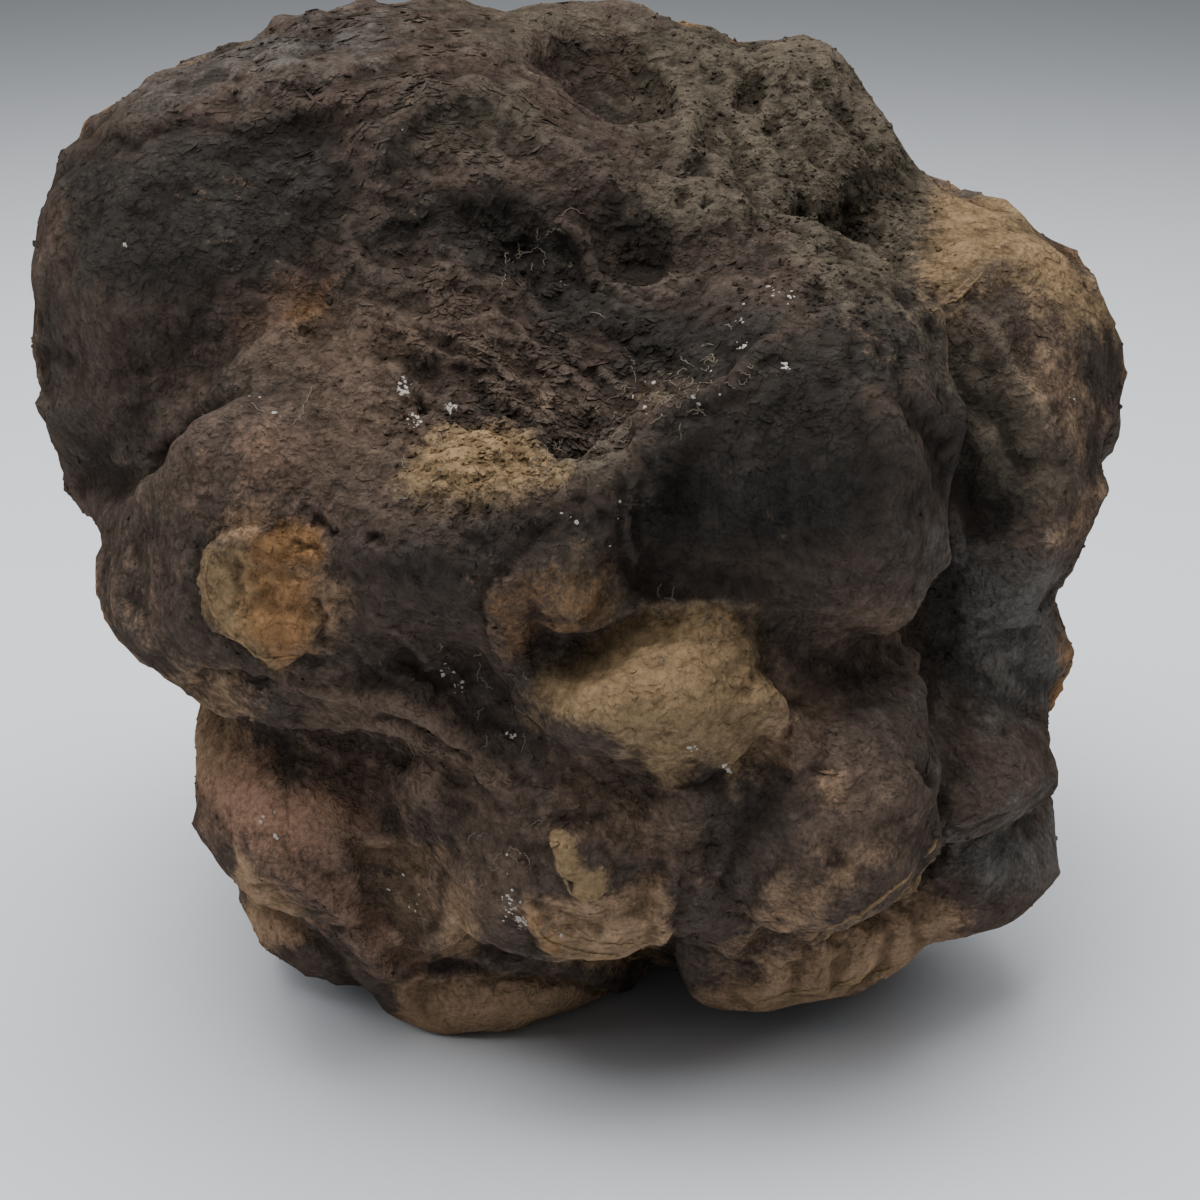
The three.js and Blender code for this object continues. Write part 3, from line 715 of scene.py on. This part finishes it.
def seen_by_photo(points, normals):
    """1 where the photograph's camera sees the stone and 0 where it doesn't, with a soft border."""
    tree = BVHTree.FromPolygons(points.tolist(), faces.tolist())
    to_eye = unit(EYE - points)
    seen = smooth_step(*FACING, np.sum(to_eye * normals, axis=1))
    starts = points + SIGHT_START * normals
    for k in np.flatnonzero(seen):
        if tree.ray_cast(Vector(starts[k]), Vector(to_eye[k]))[0] is not None:
            seen[k] = 0
    return spread(seen, SEEN_ROUNDS)


def wavered(spots, points):
    """Pixels pushed about by noise, so that lines and outlines aren't too clean."""
    spots = spots.copy()
    for k, (wavelength, push) in enumerate(WAVER):
        for axis in range(2):
            spots[:, axis] += push * gradient_noise(points / wavelength, SEEDS["waver"] + 2 * k + axis)
    return spots


def dying_out(share):
    """1 along a line, falling to 0 at its ends."""
    return smooth_step(0, LINE_ENDS, share) * smooth_step(0, LINE_ENDS, 1 - share)


def front_relief(spots):
    """The height of the listed forms at each pixel."""
    height = np.zeros(len(spots))
    for sign, lines in ((1, RIDGES), (-1, GROOVES)):
        for _, tall, width, line in lines:
            gap, _, share = to_line(spots, line)
            height += sign * tall * dying_out(share) * np.exp(-((gap / width) ** 2))
    for _, tall, fade, line in LEDGES:
        gap, side, share = to_line(spots, line)
        step = smooth_step(-LEDGE_EDGE, LEDGE_EDGE, gap * side)
        height += tall * dying_out(share) * np.exp(-gap / fade) * (step - LEDGE_SINK)
    for _, tall, soft, outline in PLATES:
        height += tall * smooth_step(-soft, soft, depth_inside(spots, outline))
    for deep, radius, place in PITS:
        far = np.linalg.norm(spots - place, axis=1) / radius
        height -= deep * np.exp(-(far**3))
    return height


def wrinkles(spots):
    """Crests of noise that is drawn out along each region's own slope."""
    height = np.zeros(len(spots))
    for k, (_, tall, reach, spacing, slope, middle) in enumerate(WRINKLES):
        turn = math.radians(slope)
        along = spots @ (math.cos(turn), math.sin(turn))
        across = spots @ (-math.sin(turn), math.cos(turn))
        drawn = np.stack([along / WRINKLE_STRETCH, across, np.full(len(spots), WRINKLE_SLICE)], axis=1)
        folds = np.abs(layered_noise(drawn, 2 * spacing, SEEDS["wrinkles"] + SEEDS_APART * k))
        height += tall * nearness(spots, middle, reach) * (WRINKLE_LEVEL - 2 * folds)
    return height


def roughness_at(spots):
    rough = np.ones(len(spots))
    for _, factor, reach, middle in ROUGHNESS:
        rough += (factor - 1) * nearness(spots, middle, reach)
    return rough


def hidden_relief(points, seen):
    """Sharp folds and scattered pits, for the sides that the photograph doesn't show."""
    bend, push = HIDDEN_BEND
    wavelength, tall = HIDDEN_FOLDS
    bent_points = points + push * noise_vectors(points, bend, SEEDS["hidden bend"])
    folds = 1 - 2 * np.abs(gradient_noise(bent_points / wavelength, SEEDS["hidden folds"]))
    height = tall * folds * np.abs(folds)
    for k in rng.choice(np.flatnonzero(seen < LITTLE_SEEN), HIDDEN_PITS):
        radius = rng.uniform(*HIDDEN_PIT_RADIUS)
        far = np.linalg.norm(points - points[k], axis=1) / radius
        height -= HIDDEN_PIT_DEPTH * radius * np.exp(-(far**3))
    return height


def grain_at(points):
    """The waves, knobs and crests of the grain together."""
    def waves(table, seed):
        return [(tall, gradient_noise(points / wide, seed + k)) for k, (wide, tall) in enumerate(table)]

    grain = sum(tall * wave for tall, wave in waves(GRAIN, SEEDS["grain"]))
    grain += sum(tall * (2 * np.abs(wave) - CREST_LEVEL) for tall, wave in waves(KNOBS, SEEDS["knobs"]))
    grain += sum(tall * (CREST_LEVEL - 2 * np.abs(wave)) for tall, wave in waves(CRESTS, SEEDS["crests"]))
    return grain


def carved(points, seen, spots):
    """The fine stone with all its relief, and its base left flat."""
    normals = unit(spread_points(normals_of(points), NORMAL_ROUNDS))
    front = front_relief(spots) + wrinkles(spots)
    wavelength, mean, swing = HIDDEN_ROUGHNESS
    hidden_rough = mean + swing * gradient_noise(points / wavelength, SEEDS["hidden roughness"])
    rough = seen * roughness_at(spots) + (1 - seen) * hidden_rough
    height = seen * front + (1 - seen) * hidden_relief(points, seen) + rough * grain_at(points)
    height *= smooth_step(*BASE_FADE, points[:, 2])
    moved = points + height[:, None] * normals
    moved[:, 2] = np.maximum(moved[:, 2], 0)
    return moved


def hollowness():
    """From 0 on crests to 1 in hollows, at all scales together."""
    total = np.zeros(len(points))
    for rounds, depth in HOLLOW_SCALES:
        deep = np.sum((spread_points(points, rounds) - points) * normals, axis=1)
        total += np.clip(deep / depth, -1, 1)
    return np.clip(0.5 + HOLLOW_SHARE * total, 0, 1)


def cover_of(kind):
    """How much of a kind of colour lies at each point: its border runs where this is a half."""
    front = np.zeros(len(points))
    for _, cover, soft, outline in PATCHES[kind]:
        front = np.maximum(front, cover * smooth_step(-soft, soft, depth_inside(spots, outline)))
    wavelength, share = HIDDEN_PATCHES[kind]
    seed = SEEDS["hidden patches"] + SEEDS_APART * list(HIDDEN_PATCHES).index(kind)
    above = layered_noise(points, wavelength, seed) - HIDDEN_CONTRAST * (HIDDEN_LEVEL - share)
    hidden = np.clip(0.5 + HIDDEN_CONTRAST * above, 0, HIDDEN_MOST)
    near = np.clip(PAST_THE_EDGE * spread(seen, EDGE_ROUNDS), 0, 1)
    return near * front + (1 - near) * hidden


class Shades:
    """Short ways to add shader nodes to one material."""

    def __init__(self, name):
        self.material = bpy.data.materials.new(name)
        self.material.use_nodes = True
        self.tree = self.material.node_tree
        self.place = self.tree.nodes.new("ShaderNodeTexCoord").outputs["Object"]

    def plug(self, socket, value):
        if isinstance(value, bpy.types.NodeSocket):
            self.tree.links.new(value, socket)
        elif isinstance(value, tuple):
            socket.default_value = (*value, 1)
        else:
            socket.default_value = value

    def surface(self, name, value):
        self.plug(self.tree.nodes["Principled BSDF"].inputs[name], value)

    def add(self, kind, inputs, output=0, **settings):
        """One output of a new node with these inputs and settings."""
        node = self.tree.nodes.new("ShaderNode" + kind)
        for name, value in settings.items():
            setattr(node, name, value)
        for socket, value in inputs.items():
            self.plug(node.inputs[socket], value)
        return node.outputs[output]

    def noise(self, wavelength, detail, rough=0.6, sharp=False):
        """Noise of a wavelength in millimetres, with sharp crests where that is asked for."""
        size = [MM * wavelength] * 3
        place = self.add("Mapping", {"Vector": self.place, "Scale": size}, vector_type="TEXTURE")
        inputs = {"Vector": place, "Scale": 1, "Detail": detail, "Roughness": rough}
        if not sharp:
            return self.add("TexNoise", inputs)
        inputs |= {"Offset": RIDGED_OFFSET, "Gain": RIDGED_GAIN}
        return self.add("TexNoise", inputs, noise_type="RIDGED_MULTIFRACTAL")

    def attribute(self, name):
        return self.add("Attribute", {}, "Fac", attribute_name=name)

    def math(self, operation, a, b):
        return self.add("Math", {0: a, 1: b}, operation=operation)

    def plus_share(self, value, share, other):
        return self.math("ADD", value, self.math("MULTIPLY", other, share))

    def step(self, value, ends, to=(0, 1)):
        inputs = dict(zip(("From Min", "From Max", "To Min", "To Max"), (*ends, *to)), Value=value)
        return self.add("MapRange", inputs, interpolation_type="SMOOTHSTEP")

    def mix(self, share, a, b, blend="MIX"):
        return self.add("Mix", {0: share, 6: a, 7: b}, 2, data_type="RGBA", blend_type=blend)

    def bump(self, height, depth, strength, under=None):
        inputs = {"Strength": strength, "Distance": depth * MM, "Height": height}
        if under is not None:
            inputs["Normal"] = under
        return self.add("Bump", inputs)


def crust_material():
    """Earthy crust: kinds of colour with ragged borders, dirt and painted shade in hollows, worn crests and
    a fine grain.
    """
    shades = Shades("crust")
    broad = shades.noise(*BROAD_CLOUD)
    middling = shades.noise(*MIDDLING_CLOUD)
    fine = shades.noise(*FINE_CLOUD)
    ragged = shades.plus_share(shades.math("MULTIPLY", middling, RAGGED_SHARES[0]), RAGGED_SHARES[1], fine)
    variety = shades.step(shades.plus_share(broad, VARIETY_SHARE, middling), VARIETY)
    colour = shades.mix(variety, *COLOURS["plain"])
    for kind in HIDDEN_PATCHES:
        share = shades.step(shades.plus_share(shades.attribute(kind), RAGGED_PUSH, ragged), BORDER)
        colour = shades.mix(share, colour, shades.mix(variety, *COLOURS[kind]))
    mottling = shades.step(ragged, MOTTLING_ENDS, MOTTLING)
    fine_mottling = shades.step(fine, MOTTLING_ENDS, FINE_MOTTLING)
    # Painted shade: the colour darkens in hollows, where shade falls, along with dirt.
    dirt_and_shade = shades.step(shades.attribute("hollow"), OTHER_ENDS, DIRT_AND_PAINTED_SHADE)
    for factor in (mottling, fine_mottling, dirt_and_shade):
        colour = shades.mix(1.0, colour, factor, "MULTIPLY")
    shades.surface("Base Color", colour)
    shades.surface("Roughness", shades.step(fine, OTHER_ENDS, CRUST_ROUGHNESS))
    shades.surface("Specular IOR Level", 0)
    bumps = shades.bump(shades.noise(*RIDGED_CLOUD, sharp=True), *RIDGED_BUMP)
    bumps = shades.bump(fine, *FINE_BUMP, bumps)
    shades.surface("Normal", bumps)
    return shades.material


def dull_shades(name, cloud, colours):
    """A dull material that varies between two colours."""
    shades = Shades(name)
    shades.surface("Base Color", shades.mix(shades.noise(*cloud), *colours))
    shades.surface("Roughness", DULL)
    return shades


def chalk_material():
    shades = dull_shades("chalk", CHALK_CLOUD, CHALK_COLOURS)
    shades.surface("Normal", shades.bump(shades.noise(*CHALK_GRAIN), *CHALK_BUMP))
    return shades.material


def make_piece(name, piece_points, piece_faces, material, values=None, smooth=True):
    mesh = bpy.data.meshes.new(name)
    mesh.from_pydata((piece_points * MM).tolist(), [], piece_faces.tolist())
    if smooth:
        mesh.shade_smooth()
    for kind, numbers in (values or {}).items():
        mesh.attributes.new(kind, "FLOAT", "POINT").data.foreach_set("value", numbers.astype(np.float32))
    mesh.materials.append(material)
    piece = linked(name, mesh)
    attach(piece, "root")
    return piece


def repeated(shape, count, corners):
    """The faces of one shape, for many copies of it."""
    return (np.array(shape)[None] + corners * np.arange(count)[:, None, None]).reshape(-1, 3)


def covers_at(owners, corners):
    """The stone's cover at each owner, for all the corners of the shape that it carries."""
    return {kind: np.repeat(numbers[owners], corners) for kind, numbers in covers.items()}


def scattered(count, front, behind):
    """Random places on the stone, thicker where front or behind is higher, and the point nearest to each."""
    density = (seen * front + (1 - seen) * behind) * smooth_step(*CLEAR_OF_BASE, points[:, 2])
    corners = points[faces]
    area = np.linalg.norm(np.cross(corners[:, 2] - corners[:, 0], corners[:, 3] - corners[:, 1]), axis=1)
    weight = area * density[faces].mean(axis=1)
    chosen = rng.choice(len(faces), count, p=weight / weight.sum())
    shares = rng.dirichlet((1, 1, 1, 1), count)
    return faces[chosen, shares.argmax(axis=1)], np.einsum("nk,nkc->nc", shares, corners[chosen])


def grain_directions():
    """Along the wrinkles at each point: their slope in the picture in front, and a noise behind."""
    lean = np.tile(PLAIN_LEAN, (len(points), 1))
    for _, tall, reach, _, slope, middle in WRINKLES:
        turn = math.radians(slope)
        lean += tall * nearness(spots, middle, reach)[:, None] * (math.cos(turn), math.sin(turn))
    front = unit(lean[:, :1] * RIGHT - lean[:, 1:] * UP)
    along = seen[:, None] * front + (1 - seen[:, None]) * noise_vectors(points, SWIRL, SEEDS["swirl"])
    along -= np.sum(along * normals, axis=1, keepdims=True) * normals
    return unit(along)


def flake_faces():
    """Triangles of one flake: a ring round a crown on top, and a ring of as many corners below."""
    corners = FLAKE_CORNERS
    below = corners + 1
    ring = [(k, (k + 1) % corners) for k in range(corners)]
    top = [(a, b, corners) for a, b in ring]
    sides = [(a + below, b + below, b) for a, b in ring] + [(a + below, b, a) for a, b in ring]
    bottom = [(below, below + k + 1, below + k) for k in range(1, corners - 1)]
    return top + sides + bottom


def make_flakes(material):
    """Thin jagged scales that lie roughly along the wrinkles, with one edge lifted."""
    wrinkled = sum(tall * nearness(spots, middle, reach) for _, tall, reach, _, _, middle in WRINKLES)
    behind = THICK_BEHIND * patchy_noise(points, *FLAKES_BEHIND, SEEDS["flakes behind"])
    patches = patchy_noise(points, *FLAKE_PATCHES, SEEDS["flake patches"])
    owners, places = scattered(FLAKES, wrinkled**2 * patches, behind * patches)
    up = normals[owners]
    straight = grain_directions()[owners]
    aside = np.cross(up, straight)
    skew = rng.normal(size=(FLAKES, 1)) * FLAKE_SKEW
    along = straight * np.cos(skew) + aside * np.sin(skew)
    across = aside * np.cos(skew) - straight * np.sin(skew)
    across *= np.where(across @ UP > 0, -1, 1)[:, None]
    length, width, height = (between(ends, rng.random(FLAKES) ** 2)[:, None] for ends in FLAKE_SIZES)
    turn = np.arange(FLAKE_CORNERS) * math.tau / FLAKE_CORNERS
    reach = rng.uniform(*FLAKE_RAGGED, (FLAKES, FLAKE_CORNERS))
    u = reach * np.cos(turn) * length
    v = reach * np.sin(turn) * width
    lift = (FLAKE_LIFT[0] + FLAKE_LIFT[1] * v / width) * height

    def placed(u, v, w):
        return (places[:, None] + u[..., None] * along[:, None] + v[..., None] * across[:, None]
                + w[..., None] * up[:, None])

    middle = np.zeros((FLAKES, 1))
    top = placed(u, v, lift)
    crown = placed(middle, middle, FLAKE_CROWN * height)
    bottom = placed(FLAKE_FOOT * u, FLAKE_FOOT * v, np.full(u.shape, -FLAKE_SUNK))
    corners = np.concatenate([top, crown, bottom], axis=1)
    count = corners.shape[1]
    make_piece("flakes", corners.reshape(-1, 3), repeated(flake_faces(), FLAKES, count), material,
               covers_at(owners, count), smooth=False)


def ball():
    """The corners and faces of an icosahedron of radius 1. A face joins three neighbouring corners."""
    golden = (1 + math.sqrt(5)) / 2
    corners = np.array([np.roll((short, tall, 0), turn)
                        for turn in range(3) for tall in (golden, -golden) for short in (-1, 1)])
    near = np.linalg.norm(corners[:, None] - corners, axis=2) < golden + 1
    sides = [(a, b, c) for a, b, c in itertools.permutations(range(len(corners)), 3)
             if a < min(b, c) and near[a, b] and near[b, c] and near[c, a]
             and np.linalg.det(corners[[a, b, c]]) > 0]
    return corners / np.linalg.norm(corners[0]), sides


def lumps(places, up, sizes, flatness):
    """An uneven lump round each place, half sunk in the stone."""
    corners, sides = ball()
    count = len(places)
    uneven = corners * rng.uniform(*LUMP_CORNERS, (count, len(corners), 1))
    uneven = uneven * rng.uniform(*LUMP_SIDES, (count, 1, 3))
    side = unit(np.cross(up, rng.normal(size=(count, 3))))
    axes = np.stack([side, np.cross(up, side), flatness * up], axis=1)
    turned = np.einsum("nkc,ncd->nkd", uneven, axes) * sizes[:, None, None]
    return (places[:, None] + turned).reshape(-1, 3), repeated(sides, count, len(corners))


def make_crumbs(material):
    front = np.clip(roughness_at(spots) - CRUMBS_FROM, 0, None) ** CRUMBS_POWER + FEW_CRUMBS
    behind = THICK_BEHIND * patchy_noise(points, *CRUMBS_BEHIND, SEEDS["crumbs behind"]) + FEW_CRUMBS
    owners, places = scattered(CRUMBS, front, behind)
    sizes = between(CRUMB_SIZE, rng.random(CRUMBS) ** CRUMB_SKEW)
    crumb_points, crumb_faces = lumps(places, normals[owners], sizes, CRUMB_FLATNESS)
    values = covers_at(owners, len(crumb_points) // CRUMBS)
    make_piece("crumbs", crumb_points, crumb_faces, material, values, smooth=False)


def on_stone(spot):
    """The place on the stone that a pixel shows, which way is out there, and a point near it."""
    middle = FRAME_PIXELS / 2
    sight = FORWARD + ((spot[0] - middle) * RIGHT - (spot[1] - middle) * UP) / FOCAL_PIXELS
    place, out, face, _ = tree.ray_cast(Vector(EYE), Vector(sight))
    return None if place is None else (np.array(place), np.array(out), faces[face, 0])


def make_chalk(material):
    hits = []
    for count, wide, middle in CHALK:
        hits += [on_stone(middle + shift) for shift in rng.normal(size=(count, 2)) * wide / 2]
    places, outs, _ = (np.array(side) for side in zip(*filter(None, hits)))
    sizes = between(CHALK_SIZE, rng.random(len(places)) ** 2)
    chalk_points, chalk_faces = lumps(places, outs, sizes, CHALK_FLATNESS)
    make_piece("chalk", chalk_points, chalk_faces, material, smooth=False)


def thread_lines():
    """The threads, and the shreds that curl about among them."""
    lines = list(THREADS)
    for count, wide, middle in SHREDS:
        for _ in range(count):
            heading = rng.uniform(0, math.tau) + np.cumsum(rng.normal(size=SHRED_BENDS) * SHRED_CURL)
            steps = rng.uniform(*SHRED_STEP) * np.stack([np.cos(heading), np.sin(heading)], axis=1)
            lines.append(middle + rng.normal(size=2) * wide / 2 + np.cumsum(steps, axis=0))
    return [(THREAD_RADIUS, line) for line in lines]


def bent(line):
    """A line of pixels with many short steps, a little uneven."""
    line = np.array(line, dtype=float)
    steps = np.linspace(0, len(line) - 1, STEPS_PER_CORNER * len(line))
    smooth = np.stack([np.interp(steps, range(len(line)), line[:, axis]) for axis in range(2)], axis=1)
    return smooth + rng.normal(size=smooth.shape) * SHAKE


def runs_of(line):
    """The parts of a line of pixels that lie on the stone without a jump."""
    run = []
    for hit in map(on_stone, line):
        if run and (hit is None or np.linalg.norm(hit[0] - run[-1][0]) > LONGEST_STEP):
            yield run
            run = []
        if hit is not None:
            run.append(hit)
    yield run


def tube(run, radius, sunk):
    """The points of a thin tube, ring by ring, laid along the stone or sunk into it."""
    places, outs = (np.array(side) for side in list(zip(*run))[:2])
    places -= sunk * radius * outs
    side = unit(np.cross(np.gradient(places, axis=0), outs))
    thin = radius * np.sin(np.linspace(TAPER_END, math.pi - TAPER_END, len(places))) ** TAPER_POWER
    turn = np.arange(TUBE_SIDES) * math.tau / TUBE_SIDES
    rings = places[:, None] + thin[:, None, None] * (
        np.cos(turn)[:, None] * side[:, None] + np.sin(turn)[:, None] * outs[:, None])
    return rings.reshape(-1, 3)


def tube_faces(first, rings):
    """Triangles of a closed tube whose rings follow one another."""
    ring = [(k, (k + 1) % TUBE_SIDES) for k in range(TUBE_SIDES)]
    sides = []
    for k in range(rings - 1):
        low = first + k * TUBE_SIDES
        high = low + TUBE_SIDES
        sides += [(low + a, low + b, high + b) for a, b in ring]
        sides += [(low + a, high + b, high + a) for a, b in ring]
    last = first + (rings - 1) * TUBE_SIDES
    sides += [(first, first + k + 1, first + k) for k in range(1, TUBE_SIDES - 1)]
    sides += [(last, last + k, last + k + 1) for k in range(1, TUBE_SIDES - 1)]
    return sides


def make_tubes(name, lines, material, sunk, worn_and_highlit=False):
    tube_points = []
    tube_sides = []
    owners = []
    for radius, line in lines:
        for run in runs_of(bent(line)):
            if len(run) > 2:
                tube_sides += tube_faces(len(tube_points), len(run))
                tube_points += tube(run, radius, sunk).tolist()
                owners += [owner for _, _, owner in run]
    values = covers_at(owners, TUBE_SIDES)
    # Rims: pale tan, part wear and part painted highlight, and as light as a worn crest.
    if worn_and_highlit:
        values["tan"] = np.maximum(values["tan"], RIM_HIGHLIGHT_TAN)
        values["hollow"] = np.zeros(len(tube_points))
    make_piece(name, np.array(tube_points), np.array(tube_sides), material, values)


def make_floor():
    mesh = bpy.data.meshes.new("floor")
    half = FLOOR_HALF
    corners = [(-half, -half, 0), (half, -half, 0), (half, half, 0), (-half, half, 0)]
    mesh.from_pydata(corners, [], [(0, 1, 2, 3)])
    shades = dull_shades("floor", FLOOR_CLOUD, FLOOR_COLOURS)
    shades.surface("Specular IOR Level", 0)
    mesh.materials.append(shades.material)
    floor = linked("floor", mesh)


def make_camera():
    lens = bpy.data.cameras.new("photo camera")
    lens.sensor_width = SENSOR
    lens.lens = SENSOR * FOCAL_PIXELS / FRAME_PIXELS
    bpy.context.scene.camera = aimed("photo camera", lens, EYE * MM, FORWARD)


def make_light(name, place, aim, size, power):
    lamp = bpy.data.lights.new(name, "AREA")
    lamp.shape = "DISK"
    lamp.size = size
    lamp.energy = power
    aimed(name, lamp, place, Vector(aim) - Vector(place))


def make_world():
    world = bpy.data.worlds.new("studio")
    world.use_nodes = True
    sky = world.node_tree.nodes["Background"]
    sky.inputs["Color"].default_value = SKY_COLOUR
    sky.inputs["Strength"].default_value = SKY_STRENGTH
    bpy.context.scene.world = world


smooth_points, faces = fine_stone()
base_points = sharpened(smooth_points)
seen = seen_by_photo(base_points, normals_of(base_points))
spots = wavered(to_pixels(base_points), base_points)
points = carved(base_points, seen, spots)
normals = normals_of(points)
tree = BVHTree.FromPolygons(points.tolist(), faces.tolist())
covers = {kind: cover_of(kind) for kind in HIDDEN_PATCHES}
covers["hollow"] = hollowness()

crust = crust_material()
stone = make_piece("stone", points, faces, crust, covers)
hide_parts("geode")
make_flakes(crust)
make_crumbs(crust)
make_chalk(chalk_material())
thread = dull_shades("thread", THREAD_CLOUD, THREAD_COLOURS).material
make_tubes("threads", thread_lines(), thread, THREAD_SUNK)
make_tubes("rims", RIMS, crust, RIM_SUNK, worn_and_highlit=True)

make_floor()
make_camera()
make_world()
for light in LIGHTS:
    make_light(*light)
